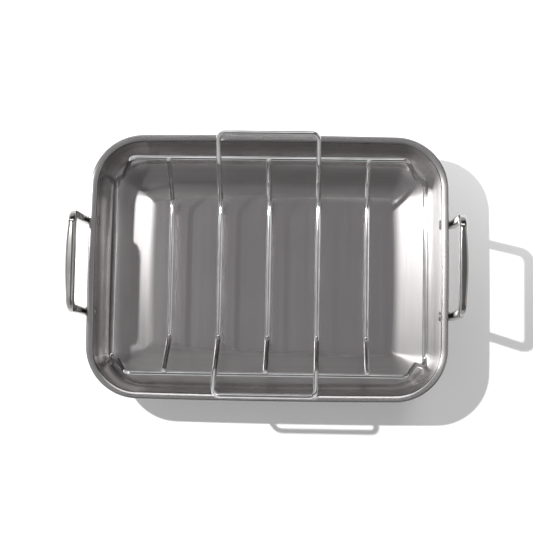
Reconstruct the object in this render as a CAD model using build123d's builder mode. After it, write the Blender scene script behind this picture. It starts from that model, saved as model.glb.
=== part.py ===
from build123d import *
from math import atan2, cos, radians, sin, sqrt, tan
import os

os.makedirs("parts", exist_ok=True)

# A stainless roasting pan with a loose wire rack lying in it, in millimetres.
# The origin is the middle of the flat underside. +X runs along the long side
# to the right handle, +Y points to the back and +Z points up.

# Driving sizes of the pan
pan_length = 410.0
pan_width = 304.0
pan_height = 75.0
sheet = 1.2
side_bow = 2.0
base_radius = 48.0
corner_margin = 4.3
lip_overhang = 6.5
bead_width = 3.6
bead_height = 3.4
bead_flat = 0.4
mouth_flat = 0.2

# Handles: a grip bar on two legs that leave the short walls level
leg_spacing = 105.0
handle_width = 10.0
handle_thickness = 8.6
handle_rounding = 3.2
stub_drop = 15.5
lip_gap = 0.2
stub_bend_radius = 10.0
grip_rise = 42.0
grip_lean = 7.2
grip_swell = 2.0
grip_run_in = 2.0
grip_corner_radius = 11.0
pad_width = 24.0
pad_height = 19.0
pad_thickness = 3.0
pad_flat = 2.0
pad_rounding = 1.2

# Rivets
rivet_diameter = 5.0
rivet_head_diameter = 11.0
rivet_head_height = 2.4
rivet_head_rounding = 1.6
rivet_depth = 7.0
rivet_clearance = 0.1

# Driving sizes of the rack, which is made to fit inside the pan's walls
wire_diameter = 5.5
weld_sink = 0.4
wire_end_rounding = 1.2
rail_end_gap = 40.3
rail_side_gap = 22.0
rail_rise = 9.5
rail_bend_radius = 8.0
knee_out = 12.0
knee_in = 15.4
knee_drop = 29.7
knee_bend_radius = 9.0
end_wire_gap = 15.5
end_corner_reach = 16.0
end_bend_radius = 12.0
end_clearance = 0.45
outer_wire_gap = 43.6
side_angle = 53.5
bottom_height = 36.0
bottom_bend_radius = 12.0
loop_angle = 39.0
loop_rise = 26.5
loop_bend_radius = 20.0
loop_corner_radius = 8.5

# Places that follow from these
wall_face = pan_length / 2 - lip_overhang
wall_inside = wall_face - sheet
long_wall_inside = pan_width / 2 - lip_overhang - sheet
rim_corner_radius = lip_overhang + sheet + base_radius + corner_margin
bead_rounding = (min(bead_width, bead_height) - bead_flat) / 2
leg_y = leg_spacing / 2
stub_height = pan_height - stub_drop
rivet_radius = rivet_diameter / 2
wire_radius = wire_diameter / 2
rail_half_length = wall_inside - rail_end_gap
rail_half_width = long_wall_inside - rail_side_gap
rail_height = pan_height + rail_rise
end_half_length = wall_inside - end_wire_gap
end_half_width = pan_width / 2 - rim_corner_radius + end_corner_reach
wire_pitch = (rail_half_length - outer_wire_gap) / 2


def rim_outline(inset):
    # Four shallow arcs with round corners, seen from above, inside the rim's edge
    half_length = pan_length / 2 - inset
    half_width = pan_width / 2 - inset
    corner_x = half_length - side_bow
    corner_y = half_width - side_bow
    with BuildSketch() as outline:
        with BuildLine():
            ThreePointArc((-corner_x, corner_y), (0, half_width), (corner_x, corner_y))
            ThreePointArc((corner_x, corner_y), (half_length, 0), (corner_x, -corner_y))
            ThreePointArc((corner_x, -corner_y), (0, -half_width), (-corner_x, -corner_y))
            ThreePointArc((-corner_x, -corner_y), (-half_length, 0), (-corner_x, corner_y))
        make_face()
        fillet(outline.vertices(), rim_corner_radius - inset)
    return outline.sketch


def bent_path(points, radii, closed=False):
    # Straight runs joined by tangent arcs, with one bend radius for each corner
    corners = [Vector(*point) for point in points]
    ends = 0 if closed else 1
    bends = []
    for index, radius in enumerate(radii, start=ends):
        corner = corners[index]
        back = (corners[index - 1] - corner).normalized()
        ahead = (corners[(index + 1) % len(corners)] - corner).normalized()
        half_angle = radians(back.get_angle(ahead)) / 2
        run = radius / tan(half_angle)
        depth = radius / sin(half_angle) - radius
        middle = corner + (back + ahead).normalized() * depth
        bends.append((corner + back * run, middle, corner + ahead * run))
    with BuildLine() as path:
        start = bends[-1][-1] if closed else corners[0]
        for entry, middle, leave in bends:
            Line(start, entry)
            ThreePointArc(entry, middle, leave)
            start = leave
        if not closed:
            Line(start, corners[-1])
    return path.line


def ring_path(quarter, radii):
    # The corners of one quarter, mirrored round into a closed ring
    points = []
    for side_x, side_y, order in ((1, 1, 1), (1, -1, -1), (-1, -1, 1), (-1, 1, -1)):
        points += [(side_x * x, side_y * y, z) for x, y, z in quarter[::order]]
    return bent_path(points, (radii + radii[::-1]) * 2, closed=True)


def bent_wire(path):
    # A round wire along a bent path
    with BuildPart() as wire:
        with BuildSketch(Plane(origin=path @ 0, z_dir=path % 0)):
            Circle(wire_radius)
        sweep(path=path)
    return wire.part


# Outer and inner shapes of the deep-drawn bowl, as plain solids
with BuildPart() as bowl_outside:
    with BuildSketch():
        add(rim_outline(lip_overhang))
    extrude(amount=pan_height)
    fillet(bowl_outside.edges().group_by(Axis.Z)[0], base_radius + sheet)

with BuildPart() as bowl_inside:
    with BuildSketch(Plane.XY.offset(sheet)):
        add(rim_outline(lip_overhang + sheet))
    extrude(amount=pan_height)
    fillet(bowl_inside.edges().group_by(Axis.Z)[0], base_radius)

# One pressed sheet: bowl, flat lip with a rolled edge, and the rivet holes
with BuildPart() as pan_body:
    add(bowl_outside.part)
    with BuildSketch(Plane.XY.offset(pan_height - sheet)):
        add(rim_outline(bead_width / 2))
    extrude(amount=sheet)
    with BuildSketch(Plane.XY.offset(pan_height - bead_height)):
        add(rim_outline(0))
        add(rim_outline(bead_width), mode=Mode.SUBTRACT)
    extrude(amount=bead_height)
    bead_top = pan_body.edges().group_by(Axis.Z)[-1]
    fillet(bead_top, bead_rounding)
    bead_foot = pan_body.edges().filter_by_position(
        Axis.Z, pan_height - bead_height, pan_height
    )
    fillet(bead_foot.group_by(Axis.Z)[0], bead_rounding)
    add(bowl_inside.part, mode=Mode.SUBTRACT)
    lip_face = pan_body.faces().filter_by(Plane.XY).sort_by(Axis.Z)[-1]
    fillet(lip_face.inner_wires().edges(), sheet - mouth_flat)
    with Locations(Plane.YZ):
        with Locations((leg_y, stub_height), (-leg_y, stub_height)):
            Cylinder(rivet_radius + rivet_clearance, pan_length, mode=Mode.SUBTRACT)
pan_body.part.label = "pan_body"
export_step(pan_body.part, "parts/pan_body.step")

# A handle: both legs bend up from their pads and carry a swelling grip
bend_x = pan_length / 2 + lip_gap + handle_thickness / 2
grip_x = bend_x + grip_lean
grip_height = pan_height + grip_rise
pad_corner_radius = (pad_height - pad_flat) / 2
leg_lean = atan2(grip_lean, grip_height - stub_height)
grip_half = leg_y - grip_corner_radius - grip_run_in
across_grip = Vector(cos(leg_lean), 0, -sin(leg_lean))
leg_path = bent_path(
    [
        (wall_inside, leg_y, stub_height),
        (bend_x, leg_y, stub_height),
        (grip_x, leg_y, grip_height),
        (grip_x, grip_half, grip_height),
    ],
    [stub_bend_radius, grip_corner_radius],
)
grip_sections = ((grip_half, 0), (0, grip_swell), (-grip_half, 0))

with BuildPart() as right_handle:
    with BuildSketch(Plane.YZ.offset(wall_inside)):
        with Locations((leg_y, stub_height)):
            RectangleRounded(pad_width, pad_height, pad_corner_radius)
    extrude(amount=sheet + pad_thickness)
    fillet(right_handle.edges().group_by(Axis.X)[-1], pad_rounding)
    with BuildSketch(Plane(origin=leg_path @ 0, x_dir=(0, 1, 0), z_dir=(1, 0, 0))):
        RectangleRounded(handle_width, handle_thickness, handle_rounding)
    sweep(path=leg_path)
    mirror(about=Plane.XZ)
    for y, swell in grip_sections:
        middle = Vector(grip_x, y, grip_height) + across_grip * (swell / 2)
        with BuildSketch(Plane(origin=middle, x_dir=across_grip, z_dir=(0, 1, 0))):
            RectangleRounded(handle_thickness + swell, handle_width, handle_rounding)
    loft()
    add(bowl_outside.part, mode=Mode.SUBTRACT)
    with Locations(Plane.YZ.offset(wall_face)):
        with Locations((leg_y, stub_height), (-leg_y, stub_height)):
            Cylinder(
                rivet_radius + rivet_clearance,
                2 * (rivet_depth + rivet_clearance),
                mode=Mode.SUBTRACT,
            )
right_handle.part.label = "right_handle"
export_step(right_handle.part, "parts/right_handle.step")

with BuildPart() as left_handle:
    add(mirror(right_handle.part, about=Plane.YZ, mode=Mode.PRIVATE))
left_handle.part.label = "left_handle"
export_step(left_handle.part, "parts/left_handle.step")

# A rivet: a low head on the bowl's inner wall and a shank into the leg's end
with BuildPart() as rivet:
    with BuildSketch(Plane.YZ.offset(wall_inside)):
        with Locations((leg_y, stub_height)):
            Circle(rivet_head_diameter / 2)
    extrude(amount=-rivet_head_height)
    fillet(rivet.edges().group_by(Axis.X)[0], rivet_head_rounding)
    add(bowl_inside.part, mode=Mode.INTERSECT)
    with BuildSketch(Plane.YZ.offset(wall_inside - rivet_head_height / 2)):
        with Locations((leg_y, stub_height)):
            Circle(rivet_radius)
    extrude(amount=rivet_head_height / 2 + sheet + rivet_depth)

rivet_places = {
    "right_back": (),
    "right_front": (Plane.XZ,),
    "left_back": (Plane.YZ,),
    "left_front": (Plane.YZ, Plane.XZ),
}
for place, mirrors in rivet_places.items():
    placed_rivet = rivet.part
    for plane in mirrors:
        placed_rivet = mirror(placed_rivet, about=plane)
    placed_rivet.label = f"{place}_rivet"
    export_step(placed_rivet, f"parts/{place}_rivet.step")

# The end wires lie just clear of the curved foot of the short walls, which
# the bow of those walls brings nearer at the ends of the wires
bow_at_end = side_bow * (end_half_width / (pan_width / 2)) ** 2
end_offset = end_half_length + bow_at_end - (wall_inside - base_radius)
end_contact = base_radius - wire_radius - end_clearance
end_height = sheet + base_radius - sqrt(end_contact**2 - end_offset**2)

# Rack frame: one closed wire, whose rails drop through a knee to the end wires
knee_x = rail_half_length + knee_out
knee_y = rail_half_width - knee_in
knee_z = rail_height - knee_drop
frame_quarter = [
    (rail_half_length, rail_half_width, rail_height),
    (knee_x, knee_y, knee_z),
    (end_half_length, end_half_width, end_height),
]
frame_radii = [rail_bend_radius, knee_bend_radius, end_bend_radius]
with BuildPart() as rack_frame:
    add(bent_wire(ring_path(frame_quarter, frame_radii)))
rack_frame.part.label = "rack_frame"
export_step(rack_frame.part, "parts/rack_frame.step")

# Cross wires lie on the inner side of the rails, where they are welded
crossing_lean = radians((side_angle + loop_angle) / 2)
crossing_gap = wire_diameter - weld_sink
crossing_y = rail_half_width - crossing_gap * sin(crossing_lean)
crossing_z = rail_height + crossing_gap * cos(crossing_lean)
bottom_y = crossing_y - (crossing_z - bottom_height) / tan(radians(side_angle))
tip_y = crossing_y + wire_radius * cos(radians(side_angle))
tip_z = crossing_z + wire_radius * sin(radians(side_angle))

cross_places = {"left": -2 * wire_pitch, "middle": 0, "right": 2 * wire_pitch}
for name, x in cross_places.items():
    cross_path = bent_path(
        [
            (x, tip_y, tip_z),
            (x, bottom_y, bottom_height),
            (x, -bottom_y, bottom_height),
            (x, -tip_y, tip_z),
        ],
        [bottom_bend_radius, bottom_bend_radius],
    )
    with BuildPart() as cross_wire:
        add(bent_wire(cross_path))
        tips = cross_wire.faces().filter_by(GeomType.PLANE)
        fillet(tips.edges(), wire_end_rounding)
    cross_wire.part.label = f"{name}_cross_wire"
    export_step(cross_wire.part, f"parts/{name}_cross_wire.step")

# The second and fourth cross wires run on over the rim and close as one wire
# with a lifting loop at the front and another at the back
loop_height = rail_height + loop_rise
loop_y = crossing_y + (loop_height - crossing_z) / tan(radians(loop_angle))
loop_quarter = [
    (wire_pitch, loop_y, loop_height),
    (wire_pitch, crossing_y, crossing_z),
    (wire_pitch, bottom_y, bottom_height),
]
loop_radii = [loop_corner_radius, loop_bend_radius, bottom_bend_radius]
with BuildPart() as lifting_wire:
    add(bent_wire(ring_path(loop_quarter, loop_radii)))
lifting_wire.part.label = "lifting_wire"
export_step(lifting_wire.part, "parts/lifting_wire.step")
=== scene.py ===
import math

import bpy
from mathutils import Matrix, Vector


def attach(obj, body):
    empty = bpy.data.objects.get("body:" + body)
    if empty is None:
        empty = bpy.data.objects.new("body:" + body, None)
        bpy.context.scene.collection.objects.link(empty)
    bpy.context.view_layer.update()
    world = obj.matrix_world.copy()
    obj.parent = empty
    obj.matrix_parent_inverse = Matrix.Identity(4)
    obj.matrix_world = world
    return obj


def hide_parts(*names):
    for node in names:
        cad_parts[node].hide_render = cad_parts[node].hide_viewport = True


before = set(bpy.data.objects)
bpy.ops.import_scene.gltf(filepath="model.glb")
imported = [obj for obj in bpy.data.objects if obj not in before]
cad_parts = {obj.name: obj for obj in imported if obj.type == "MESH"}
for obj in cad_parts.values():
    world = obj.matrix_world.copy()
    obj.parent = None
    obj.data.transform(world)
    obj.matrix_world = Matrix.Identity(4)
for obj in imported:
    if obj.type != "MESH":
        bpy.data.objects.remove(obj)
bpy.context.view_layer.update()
print("frame loaded")

mm = 0.001
mixColours = {"first": 6, "second": 7, "mixed": 2}  # places of the Mix node's colour sockets


# Shader sockets that can be added and multiplied like numbers
class Signal:
    def __init__(self, tree, socket=None):
        self.tree = tree
        self.socket = socket

    def node(self, kind, settings=None, inputs=None, output=0):
        made = self.tree.nodes.new(kind)
        for key, value in (settings or {}).items():
            setattr(made, key, value)
        for key, value in (inputs or {}).items():
            if isinstance(value, Signal):
                self.tree.links.new(value.socket, made.inputs[key])
            else:
                made.inputs[key].default_value = value
        return Signal(self.tree, made.outputs[output] if len(made.outputs) else None)

    def math(self, operation, first, second):
        return self.node("ShaderNodeMath", {"operation": operation}, {0: first, 1: second})

    def __add__(self, other):
        return self.math("ADD", self, other)

    def __sub__(self, other):
        return self.math("SUBTRACT", self, other)

    def __rsub__(self, other):
        return self.math("SUBTRACT", other, self)

    def __mul__(self, other):
        return self.math("MULTIPLY", self, other)

    __radd__ = __add__
    __rmul__ = __mul__

    # Eased step from 0 at low to 1 at high, which may lie either way round
    def step(self, low, high):
        inputs = {"Value": self, "From Min": low, "From Max": high}
        return self.node("ShaderNodeMapRange", {"interpolation_type": "SMOOTHSTEP"}, inputs)

    def part(self, axis):
        return self.node("ShaderNodeSeparateXYZ", None, {0: self}, axis)

    def attribute(self, name, output="Fac"):
        return self.node("ShaderNodeAttribute", {"attribute_name": name}, None, output)

    def vectorMath(self, operation, value):
        return self.node("ShaderNodeVectorMath", {"operation": operation}, {0: self, 1: value})

    # Solid noise at a place, with a scale for each axis
    def noise(self, scale, detail, roughness, offset):
        place = self.vectorMath("MULTIPLY", scale).vectorMath("ADD", (offset, offset, offset))
        inputs = {"Vector": place, "Scale": 1.0, "Detail": detail, "Roughness": roughness}
        return self.node("ShaderNodeTexNoise", None, inputs)

    # The first colour where the signal is 0, the second where it is 1
    def blend(self, first, second):
        inputs = {"Factor": self, mixColours["first"]: first, mixColours["second"]: second}
        return self.node("ShaderNodeMix", {"data_type": "RGBA"}, inputs, mixColours["mixed"])


def newFinish(name):
    finish = bpy.data.materials.new(name)
    finish.use_nodes = True
    tree = finish.node_tree
    tree.nodes.clear()
    return finish, Signal(tree)


def closeFinish(source, skin):
    source.node("ShaderNodeOutputMaterial", None, {"Surface": skin})


def newObject(name, data):
    made = bpy.data.objects.new(name, data)
    bpy.context.collection.objects.link(made)
    return made


# Where a finish lies on its piece: the object's own space, or a named attribute
def finishPlace(source, place):
    if place == "object":
        return source.node("ShaderNodeTexCoord", None, None, "Object")
    return source.attribute(place, "Vector")


# The noises in every steel; each finish stretches them by its own scales
steelNoise = {
    "hair": {"detail": 3.0, "roughness": 0.6, "offset": 0.0},
    "band": {"detail": 2.0, "roughness": 0.5, "offset": 7.3},
    "cloud": {"detail": 3.0, "roughness": 0.55, "offset": 3.1},
    "middle": 0.5,
    "bandShare": 0.4,  # of the shade between the dark and the light colour; clouds give the rest
    "shadeRange": (0.3, 0.7),
    "brushingTurn": 0.25,  # of a full turn, which lays the brushing round the pan
}


# Brushed or polished steel: fine hairs, wider bands and soft clouds
def steelSkin(source, look, spot):
    hair = spot.noise(look["hairScale"], **steelNoise["hair"])
    band = spot.noise(look["bandScale"], **steelNoise["band"])
    cloud = spot.noise(look["cloudScale"], **steelNoise["cloud"])
    roughness = look["roughness"] + (band - steelNoise["middle"]) * look["bandRough"]
    roughness = roughness + (cloud - steelNoise["middle"]) * look["cloudRough"]
    if "polished" in look:
        roughness = roughness - source.attribute("polished") * look["polished"]
    shade = band * steelNoise["bandShare"] + cloud * (1 - steelNoise["bandShare"])
    shade = shade.step(*steelNoise["shadeRange"])
    colour = shade.blend((*look["darkColour"], 1), (*look["lightColour"], 1))
    # Painted shade: a dark colour laid along the lip's creases and outer edge, where the sheet is marked
    # for it
    if "paintedShadeColour" in look:
        colour = source.attribute("paintedShade").blend(colour, (*look["paintedShadeColour"], 1))
    height = hair * look["hairDepth"] + band * look["bandDepth"] + cloud * look["cloudDepth"]
    relief = source.node("ShaderNodeBump", None, {"Strength": 1.0, "Distance": mm, "Height": height})
    sockets = {
        "Base Color": colour,
        "Metallic": 1.0,
        "Roughness": roughness,
        "Anisotropic": look.get("brushed", 0.0),
        "Anisotropic Rotation": steelNoise["brushingTurn"],
        "Normal": relief,
    }
    return source.node("ShaderNodeBsdfPrincipled", None, sockets)


def steelFinish(name, look, place="object"):
    finish, source = newFinish(name)
    closeFinish(source, steelSkin(source, look, finishPlace(source, place)))
    return finish


# The floor's finish turns into the brushed foot's along the floor's edge
def insideFinish(name, floorLook, wallLook):
    finish, source = newFinish(name)
    floorSkin = steelSkin(source, floorLook, finishPlace(source, "object"))
    wallSkin = steelSkin(source, wallLook, finishPlace(source, "grain"))
    skins = {0: source.attribute("foot"), 1: floorSkin, 2: wallSkin}
    closeFinish(source, source.node("ShaderNodeMixShader", None, skins))
    return finish


# The pan's sheet in millimetres: the CAD's sizes, down to the bead's, and the shallow forms of
# its finish. An inset is a distance inside the rim's edge
panSheet = {
    "halfLength": 204.96,
    "halfWidth": 151.94,
    "sideBow": 2.0,
    "cornerRadius": 60.0,
    "height": 75.0,
    "sheet": 1.2,
    "footRadius": 48.0,
    "overhang": 6.5,
    "beadWidth": 3.6,
    "beadHeight": 3.4,
    "mouthRounding": 1.7,
    "lipRoll": 1.3,
    "lipDrop": 1.3,
    "lipCrown": 0.42,
    "lipPeak": 0.74,  # of the lip's width, from its inner edge
    "floorRise": 0.8,
    "floorSlope": 14.0,
    "slopePower": 1.8,
    "stepInset": 19.5,
    "stepRise": 1.7,
    "stepWidth": 3.0,
}
# How the sheet's mesh is divided
sheetMesh = {
    "sideSteps": 14,
    "cornerSteps": 28,
    "leastRadius": 3.0,  # at the corners of the innermost loops
    "floorLoops": (82, 78),  # insets in the flat floor
    "slopeSteps": 16,
    "slopePast": 2.0,  # how far the slope's loops reach past its top
    "footSteps": 48,
    "wallRises": (6, 12, 18, 22),  # heights above the foot
    "roundSteps": 6,
    "lipSteps": 9,
    "rollSteps": 12,
    "outerWallDrop": 2.0,  # below the lip
    "outerWallRises": (18, 12, 6),  # heights above the foot
    "outerFootSteps": 24,
    "underLoops": (66, 84),  # insets in the flat underside
    "sharpAngle": 50,
}
# Where the sheet is brushed or polished, and where painted shade darkens it. Insets, heights and widths
# are in millimetres
sheetWear = {
    "brushedFrom": 65.0,
    "brushedWholly": 53.0,
    "brushedLean": 4.0,
    "leanLength": 150.0,
    "polishedFrom": 7.0,
    "polishedOver": 12.0,
    "stepPolish": 0.2,
    "rightMatte": 0.65,
    "mattePower": 4,
    # Painted shade: dark lines along the lip's mouth and along its outer edge
    "paintedMouthShadeWidth": 0.9,
    "paintedShadeDepth": 1.5,
    "paintedEdgeShadeWidth": 1.1,
    "grainRadius": 190.0,  # of the ring that the brushed finish is wrapped round
}
inside, lip, outside, underside = range(4)  # the sheet's finishes, as its material slots


# One closed loop of points round the pan: shallow arcs along the sides, joined by corner
# circles that touch them. One quarter is worked out and mirrored twice
def sheetLoop(inset):
    sizes = panSheet
    halfLength = sizes["halfLength"] - inset
    halfWidth = sizes["halfWidth"] - inset
    bow = sizes["sideBow"]
    radius = max(sizes["cornerRadius"] - inset, sheetMesh["leastRadius"])
    longArc = ((halfLength - bow) ** 2 + bow**2) / (2 * bow)
    shortArc = ((halfWidth - bow) ** 2 + bow**2) / (2 * bow)
    longMiddle = Vector((0, halfWidth - longArc))
    shortMiddle = Vector((halfLength - shortArc, 0))
    reach = shortMiddle - longMiddle
    first, second = longArc - radius, shortArc - radius
    along = (first**2 - second**2 + reach.length_squared) / (2 * reach.length)
    across = math.sqrt(first**2 - along**2)
    ahead = reach.normalized()
    corner = longMiddle + ahead * along + Vector((-ahead.y, ahead.x)) * across
    if corner.x < 0 or corner.y < 0:
        corner = longMiddle + ahead * along - Vector((-ahead.y, ahead.x)) * across
    low = math.atan2(corner.y - shortMiddle.y, corner.x - shortMiddle.x)
    high = math.atan2(corner.y - longMiddle.y, corner.x - longMiddle.x)
    arcs = [
        (shortMiddle, shortArc, 0, low, sheetMesh["sideSteps"]),
        (corner, radius, low, high, sheetMesh["cornerSteps"]),
        (longMiddle, longArc, high, math.pi / 2, sheetMesh["sideSteps"]),
    ]
    quarter = []
    for middle, arc, start, end, steps in arcs:
        for step in range(steps):
            turn = start + (end - start) * step / steps
            quarter.append(middle + Vector((math.cos(turn), math.sin(turn))) * arc)
    quarter.append(longMiddle + Vector((0, longArc)))
    half = quarter + [Vector((-spot.x, spot.y)) for spot in reversed(quarter[:-1])]
    return half + [Vector((spot.x, -spot.y)) for spot in reversed(half[1:-1])]


# The floor is a shallow raised panel, which falls away to a channel along the foot
def floorLift(footMiddle, inset):
    sizes = panSheet
    part = min(max((inset - footMiddle) / sizes["floorSlope"], 0), 1)
    return sizes["floorRise"] * (1 - (1 - part) ** sizes["slopePower"])


# A shallow pressed step runs round the foot
def stepLift(inset):
    sizes = panSheet
    return sizes["stepRise"] * math.exp(-(((inset - sizes["stepInset"]) / sizes["stepWidth"]) ** 2))


# How far the lip's crown has fallen at a part of its width, from its inner edge
def crownFall(part):
    sizes = panSheet
    return sizes["lipCrown"] * ((part - sizes["lipPeak"]) / sizes["lipPeak"]) ** 2


# Sines and cosines of a quarter turn in equal steps
def quarterTurn(steps, first=0):
    turns = [math.pi / 2 * step / steps for step in range(first, steps + 1)]
    return [(math.sin(turn), math.cos(turn)) for turn in turns]


# The inside of the sheet's section as (inset, height, finish), from the floor to the mouth
def insideSection(wall, footMiddle):
    sizes, loops = panSheet, sheetMesh
    sheet = sizes["sheet"]
    insets = list(loops["floorLoops"])
    for step in range(loops["slopeSteps"]):
        part = 1 - step / loops["slopeSteps"]
        insets.append(footMiddle + loops["slopePast"] + sizes["floorSlope"] * part)
    insets.append(footMiddle)
    section = [(inset, sheet + floorLift(footMiddle, inset), inside) for inset in insets]
    for sine, cosine in quarterTurn(loops["footSteps"], 1):
        inset = footMiddle - sizes["footRadius"] * sine
        height = sizes["footRadius"] * (1 - cosine) + stepLift(inset)
        section.append((inset, sheet + height, inside))
    return section + [(wall, sheet + sizes["footRadius"] + rise, inside) for rise in loops["wallRises"]]


# The lip: over the mouth's rounding and the crown, round the roll and under the bead
def lipSection(wall):
    sizes, loops = panSheet, sheetMesh
    top = sizes["height"]
    section = []
    for sine, cosine in quarterTurn(loops["roundSteps"]):
        inset = wall - sizes["mouthRounding"] * (1 - cosine)
        height = top - sizes["lipCrown"] - sizes["mouthRounding"] * (1 - sine)
        section.append((inset, height, lip))
    lipInner = wall - sizes["mouthRounding"]
    for step in range(1, loops["lipSteps"]):
        part = step / loops["lipSteps"]
        inset = lipInner + (sizes["lipRoll"] - lipInner) * part
        section.append((inset, top - crownFall(part), lip))
    rollTop = top - crownFall(1)
    for sine, cosine in quarterTurn(loops["rollSteps"]):
        inset = sizes["lipRoll"] * (1 - sine)
        height = rollTop - sizes["lipDrop"] * (1 - cosine)
        section.append((inset, height, lip))
    beadFoot = top - sizes["beadHeight"]
    beadRadius = rollTop - sizes["lipDrop"] - beadFoot
    for sine, cosine in quarterTurn(loops["roundSteps"], 1):
        section.append((beadRadius * (1 - cosine), beadFoot + beadRadius * (1 - sine), lip))
    for sine, cosine in quarterTurn(loops["roundSteps"]):
        inset = sizes["beadWidth"] - beadRadius * (1 - sine)
        section.append((inset, beadFoot + beadRadius * (1 - cosine), lip))
    return section


# The outside, from under the lip to the flat underside
def outsideSection(footMiddle):
    sizes, loops = panSheet, sheetMesh
    under = sizes["height"] - sizes["sheet"]
    outerRadius = sizes["footRadius"] + sizes["sheet"]
    section = [(sizes["beadWidth"], under, outside), (sizes["overhang"], under, outside)]
    section.append((sizes["overhang"], under - loops["outerWallDrop"], outside))
    section += [(sizes["overhang"], outerRadius + rise, outside) for rise in loops["outerWallRises"]]
    for sine, cosine in quarterTurn(loops["outerFootSteps"]):
        inset = footMiddle - outerRadius * cosine
        section.append((inset, outerRadius * (1 - sine), outside))
    return section + [(inset, 0.0, underside) for inset in loops["underLoops"]]


def eased(part):
    part = min(max(part, 0), 1)
    return part * part * (3 - 2 * part)


# The foot's finish starts further in on the left than on the right
def footShade(spot, inset):
    wear = sheetWear
    start = wear["brushedFrom"] - wear["brushedLean"] * spot.x / wear["leanLength"]
    return eased((start - inset) / (wear["brushedFrom"] - wear["brushedWholly"]))


# The walls are polished, less so at the right end, and so is the pressed step
def polishShade(along, inset, height):
    wear = sheetWear
    part = eased((height - wear["polishedFrom"]) / wear["polishedOver"])
    part *= 1 - wear["rightMatte"] * max(along.y, 0) ** wear["mattePower"]
    return part + wear["stepPolish"] * stepLift(inset) / panSheet["stepRise"]


# Painted shade: dark lines where the lip turns down into the pan and along its outer edge
def paintedCreaseShade(inset, height):
    sizes, wear = panSheet, sheetWear
    if height < sizes["height"] - sizes["mouthRounding"] - wear["paintedShadeDepth"]:
        return 0.0
    fromMouth = abs(inset - sizes["overhang"] - sizes["sheet"]) / wear["paintedMouthShadeWidth"]
    fromEdge = inset / wear["paintedEdgeShadeWidth"]
    return min(math.exp(-(fromMouth**2)) + math.exp(-(fromEdge**2)), 1)


def buildSheet(finishes):
    wall = panSheet["overhang"] + panSheet["sheet"]
    footMiddle = wall + panSheet["footRadius"]
    section = insideSection(wall, footMiddle) + lipSection(wall) + outsideSection(footMiddle)
    ringSize = len(sheetLoop(0))
    points, guides, grain = [], [], []
    shades = {"foot": [], "polished": [], "paintedShade": []}
    grainRadius = sheetWear["grainRadius"]
    travelled = 0.0
    before = section[0]
    for inset, height, _ in section:
        travelled += math.hypot(inset - before[0], height - before[1])
        before = (inset, height)
        loop = sheetLoop(inset)
        for index, spot in enumerate(loop):
            along = (loop[(index + 1) % ringSize] - loop[index - 1]).normalized()
            turn = 2 * math.pi * index / ringSize
            wrapped = (grainRadius * math.cos(turn), grainRadius * math.sin(turn), travelled)
            points.append((spot.x * mm, spot.y * mm, height * mm))
            guides.append((along.y, -along.x, 0))
            grain.append([place * mm for place in wrapped])
            shades["foot"].append(footShade(spot, inset))
            shades["polished"].append(polishShade(along, inset, height))
            shades["paintedShade"].append(paintedCreaseShade(inset, height))
    faces = [list(range(ringSize))]
    slots = [inside]
    for ring in range(len(section) - 1):
        for index in range(ringSize):
            here = ring * ringSize + index
            beside = ring * ringSize + (index + 1) % ringSize
            faces.append([here, here + ringSize, beside + ringSize, beside])
            slots.append(section[ring + 1][2])
    last = (len(section) - 1) * ringSize
    faces.append([last + index for index in reversed(range(ringSize))])
    slots.append(underside)
    mesh = bpy.data.meshes.new("panSheet")
    mesh.from_pydata(points, [], faces)
    layer = mesh.attributes.new("grain", "FLOAT_VECTOR", "POINT")
    for vertex, value in enumerate(grain):
        layer.data[vertex].vector = value
    for name, values in shades.items():
        layer = mesh.attributes.new(name, "FLOAT", "POINT")
        for vertex, value in enumerate(values):
            layer.data[vertex].value = value
    # Blender takes the direction of brushing from where the points lie round the
    # middle, so a second mesh places each point by the direction of its ring
    guide = bpy.data.meshes.new("panBrushing")
    guide.from_pydata(guides, [], faces)
    for brushed in (mesh, guide):
        brushed.use_auto_texspace = False
        brushed.texspace_location = (0, 0, 0)
        brushed.texspace_size = (1, 1, 1)
    mesh.texture_mesh = guide
    for finish in finishes:
        mesh.materials.append(finish)
    for face, slot in zip(mesh.polygons, slots):
        face.material_index = slot
        face.use_smooth = True
    mesh.set_sharp_from_angle(angle=math.radians(sheetMesh["sharpAngle"]))
    sheet = newObject("panSheet", mesh)
    # The second mesh is read only for an object with a modifier, so this one turns nothing
    twist = sheet.modifiers.new("brushing", "SIMPLE_DEFORM")
    twist.angle = 0
    return sheet


floorLook = {
    "hairScale": (2600.0, 14.0, 60.0),
    "bandScale": (160.0, 3.0, 20.0),
    "cloudScale": (9.0, 7.0, 9.0),
    "roughness": 0.185,
    "bandRough": 0.03,
    "cloudRough": 0.04,
    "darkColour": (0.55, 0.525, 0.53),
    "lightColour": (0.60, 0.575, 0.58),
    "hairDepth": 0.004,
    "bandDepth": 0.002,
    "cloudDepth": 0.05,
}
wallLook = {
    "hairScale": (9.0, 9.0, 1100.0),
    "bandScale": (5.0, 5.0, 300.0),
    "cloudScale": (14.0, 14.0, 22.0),
    # the painted shade along the lip's creases and outer edge
    "paintedShadeColour": (0.14, 0.135, 0.135),
    "roughness": 0.5,
    "polished": 0.30,
    "brushed": 1.0,
    "bandRough": 0.12,
    "cloudRough": 0.06,
    "darkColour": (0.55, 0.53, 0.53),
    "lightColour": (0.63, 0.61, 0.61),
    "hairDepth": 0.006,
    "bandDepth": 0.12,
    "cloudDepth": 0.10,
}
lipLook = dict(
    wallLook,
    roughness=0.31,
    polished=0.15,
    brushed=0.6,
    darkColour=(0.62, 0.60, 0.60),
    lightColour=(0.76, 0.74, 0.74),
    hairDepth=0.002,
    bandDepth=0.02,
)
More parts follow.
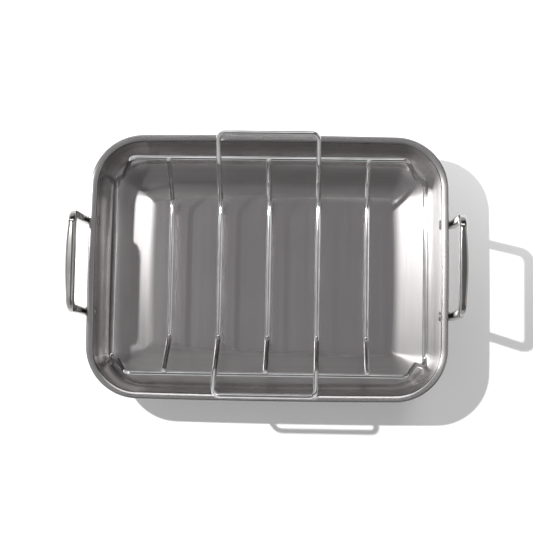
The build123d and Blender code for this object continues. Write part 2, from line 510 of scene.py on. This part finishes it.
# Painted shade: the outside's steel is coloured darker than the inside's, so that its reflection of the
# bright table looks dimmer
shadedOutsideLook = dict(wallLook, darkColour=(0.36, 0.35, 0.35), lightColour=(0.44, 0.43, 0.43))
undersideLook = dict(floorLook, roughness=0.32)

finishes = [
    insideFinish("panInsideSteel", floorLook, wallLook),
    steelFinish("panLipSteel", lipLook, "grain"),
    steelFinish("panOutsideShadedSteel", shadedOutsideLook, "grain"),
    steelFinish("panUndersideSteel", undersideLook),
]
sheet = buildSheet(finishes)
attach(sheet, "pan")
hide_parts("pan_body")
print("pan sheet built")

handleLook = {
    "hairScale": (500.0, 60.0, 500.0),
    "bandScale": (90.0, 20.0, 90.0),
    "cloudScale": (30.0, 30.0, 30.0),
    "roughness": 0.08,
    "bandRough": 0.04,
    "cloudRough": 0.04,
    "darkColour": (0.38, 0.37, 0.36),
    "lightColour": (0.50, 0.49, 0.48),
    "hairDepth": 0.003,
    "bandDepth": 0.006,
    "cloudDepth": 0.02,
}
rivetLook = dict(handleLook, roughness=0.2, hairScale=(900.0, 900.0, 900.0))
wireLook = {
    "hairScale": (900.0, 900.0, 900.0),
    "bandScale": (60.0, 60.0, 60.0),
    "cloudScale": (20.0, 20.0, 20.0),
    "roughness": 0.045,
    "bandRough": 0.02,
    "cloudRough": 0.02,
    "darkColour": (0.62, 0.62, 0.62),
    "lightColour": (0.78, 0.78, 0.78),
    "hairDepth": 0.001,
    "bandDepth": 0.006,
    "cloudDepth": 0.01,
}
handleSteel = steelFinish("handleSteel", handleLook)
rivetSteel = steelFinish("rivetSteel", rivetLook)
rackWire = steelFinish("rackWire", wireLook)
nodeFinishes = {
    "left_handle": handleSteel,
    "right_handle": handleSteel,
    "left_back_rivet": rivetSteel,
    "left_front_rivet": rivetSteel,
    "right_back_rivet": rivetSteel,
    "right_front_rivet": rivetSteel,
    "rack_frame": rackWire,
    "left_cross_wire": rackWire,
    "middle_cross_wire": rackWire,
    "right_cross_wire": rackWire,
    "lifting_wire": rackWire,
}
for node, finish in nodeFinishes.items():
    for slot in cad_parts[node].material_slots:
        slot.material = finish
print("frame nodes finished")

tableTop = {"reach": 8.0, "below": 0.0003, "colour": 0.9, "roughness": 0.9, "gloss": 0.1, "glow": 0.12}
reach = tableTop["reach"]
tableMesh = bpy.data.meshes.new("tableTop")
tableCorners = [(-reach, -reach, 0), (reach, -reach, 0), (reach, reach, 0), (-reach, reach, 0)]
tableMesh.from_pydata(tableCorners, [], [(0, 1, 2, 3)])
table = newObject("tableTop", tableMesh)
table.location.z = -tableTop["below"]
paleTable, source = newFinish("paleTable")
tableSockets = {
    "Base Color": (tableTop["colour"], tableTop["colour"], tableTop["colour"], 1),
    "Roughness": tableTop["roughness"],
    "Specular IOR Level": tableTop["gloss"],
    "Emission Color": (1, 1, 1, 1),
    "Emission Strength": tableTop["glow"],
}
closeFinish(source, source.node("ShaderNodeBsdfPrincipled", None, tableSockets))
tableMesh.materials.append(paleTable)
print("table laid")

# The studio's light by direction: a dim dome with a paler round panel overhead
studio = {
    "dome": 0.08,
    "overhead": 0.26,
    "overheadMiddle": (-0.03, 0.1),
    "overheadEdge": (0.16, 0.06),
    "backdrop": 0.93,
}
# Each patch of light covers those before it. An edge is an axis, where the patch starts along
# it and where it is whole. A faded patch loses a share of its strength along another axis
patches = {
    "right": {"light": 0.3, "edges": [("across", 0.25, 0.45)]},
    "front": {"light": 0.16, "edges": [("away", -0.15, -0.35)]},
    "behind": {"light": 0.05, "edges": [("away", 0.25, 0.35)]},
    "backStrip": {
        "light": 2.8,
        "edges": [
            ("away", 0.38, 0.42),
            ("away", 0.56, 0.52),
            ("across", 0.5, 0.4),
            ("across", -0.75, -0.65),
        ],
        "onlyShine": True,
    },
    "left": {"light": 0.6, "edges": [("across", -0.22, -0.32), ("away", 0.2, 0.14)]},
    "rightStrip": {
        "light": 1.1,
        "edges": [
            ("across", 0.72, 0.76),
            ("across", 0.92, 0.88),
            ("away", 0.3, 0.25),
            ("away", -0.35, -0.3),
            ("up", 0.0, 0.1),
        ],
        "onlyShine": True,
    },
    "horizon": {"light": 0.7, "edges": [("up", 0.5, 0.32)], "faded": ("across", 0.35, 0.55, 0.6)},
    "rightBack": {"light": 0.03, "edges": [("across", 0.3, 0.45), ("away", 0.25, 0.4)]},
}
world = bpy.data.worlds.new("studio")
bpy.context.scene.world = world
world.use_nodes = True
world.node_tree.nodes.clear()
source = Signal(world.node_tree)
sky = source.node("ShaderNodeTexCoord", None, None, "Generated")
axes = {"across": sky.part(0), "away": sky.part(1), "up": sky.part(2)}
shine = source.node("ShaderNodeLightPath", None, None, "Is Glossy Ray")
seen = source.node("ShaderNodeLightPath", None, None, "Is Camera Ray")

aside = axes["across"] - studio["overheadMiddle"][0]
ahead = axes["away"] - studio["overheadMiddle"][1]
panel = (aside * aside + ahead * ahead).step(*studio["overheadEdge"])
light = panel * (studio["overhead"] - studio["dome"]) + studio["dome"]
for patch in patches.values():
    masks = [axes[axis].step(start, whole) for axis, start, whole in patch["edges"]]
    if "onlyShine" in patch:
        masks.append(shine)
    if "faded" in patch:
        axis, start, whole, share = patch["faded"]
        masks.append(1 - axes[axis].step(start, whole) * share)
    light = light + math.prod(masks) * (patch["light"] - light)
light = light + seen * (studio["backdrop"] - light)
glow = source.node("ShaderNodeBackground", None, {"Color": (1, 1, 1, 1), "Strength": light})
source.node("ShaderNodeOutputWorld", None, {"Surface": glow})


def roundLamp(name, look, share, shines):
    lamp = bpy.data.lights.new(name, "AREA")
    lamp.shape = "DISK"
    lamp.size = look["size"]
    lamp.energy = look["power"] * share
    holder = newObject(name, lamp)
    holder.location = look["place"]
    holder.rotation_euler = (-Vector(look["place"])).to_track_quat("-Z", "Y").to_euler()
    holder.visible_glossy = shines


# A share of the key light shines on everything. The rest of it and the fill light are hidden
# from steel, so that they light the table alone
keyLight = {"place": (-1.033, 0.399, 1.758), "size": 0.05, "power": 48.0, "shine": 0.4}
fillLight = {"place": (0.4, 0.36, 0.28), "size": 0.3, "power": 1.3}
roundLamp("keyLight", keyLight, keyLight["shine"], True)
roundLamp("tableKeyLight", keyLight, 1 - keyLight["shine"], False)
roundLamp("fillLight", fillLight, 1, False)

view = {"place": (0.0613, -0.1995, 1.7523), "turn": (6.825, 2.013, 0.972), "lens": 100.75, "sensor": 36.0}
lens = bpy.data.cameras.new("camera")
lens.lens = view["lens"]
lens.sensor_width = view["sensor"]
camera = newObject("camera", lens)
camera.location = view["place"]
camera.rotation_euler = [math.radians(angle) for angle in view["turn"]]
bpy.context.scene.camera = camera
bpy.context.scene.view_settings.view_transform = "Standard"
print("light and camera set")
